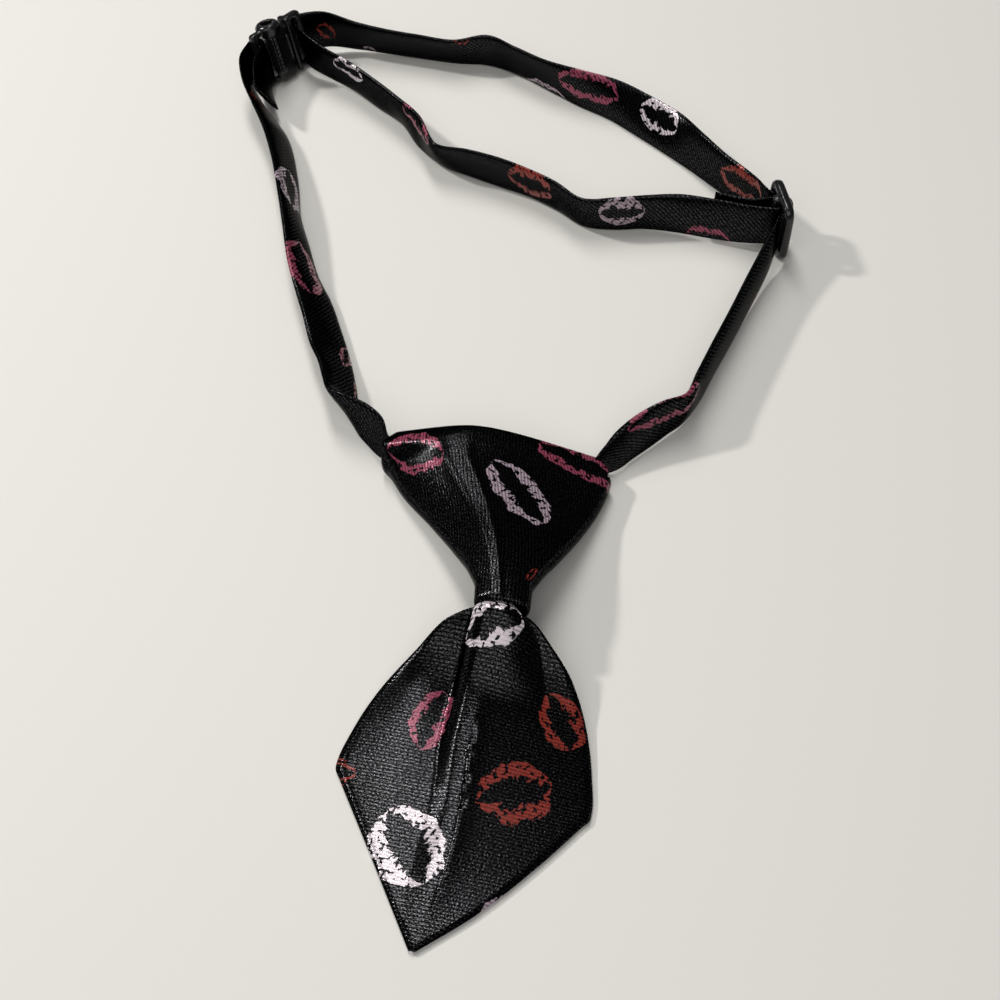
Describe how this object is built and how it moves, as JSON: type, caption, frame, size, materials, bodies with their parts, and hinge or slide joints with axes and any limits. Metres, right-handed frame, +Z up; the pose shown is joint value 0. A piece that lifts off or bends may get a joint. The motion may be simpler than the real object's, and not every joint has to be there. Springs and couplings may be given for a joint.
{
  "type": "dog necktie collar",
  "caption": "Small dog's necktie collar lying on a table: kiss-printed black satin tie and knot on an adjustable neck strap with a fastened plastic clasp and a slider.",
  "frame": {"origin": "middle of the whole collar's footprint box, on the table", "axes": "+Y from the tie's tip towards the far side of the neck loop, +Z up from the table, +X towards the slider"},
  "size_m": [0.1249, 0.2317, 0.0151],
  "materials": {
    "tie_satin": "black polyester satin with printed pink, red and white kiss marks",
    "knot_satin": "black polyester satin with printed pink and white kiss marks",
    "strap_satin": "folded black satin strip with printed kiss marks",
    "black_plastic": "moulded glossy black plastic"
  },
  "bodies": {
    "root": {"tie_blade": "tie_satin", "tie_knot": "knot_satin", "neck_strap": "strap_satin", "clasp_left": "black_plastic", "clasp_right": "black_plastic", "strap_slider": "black_plastic"}
  },
  "joints": []
}
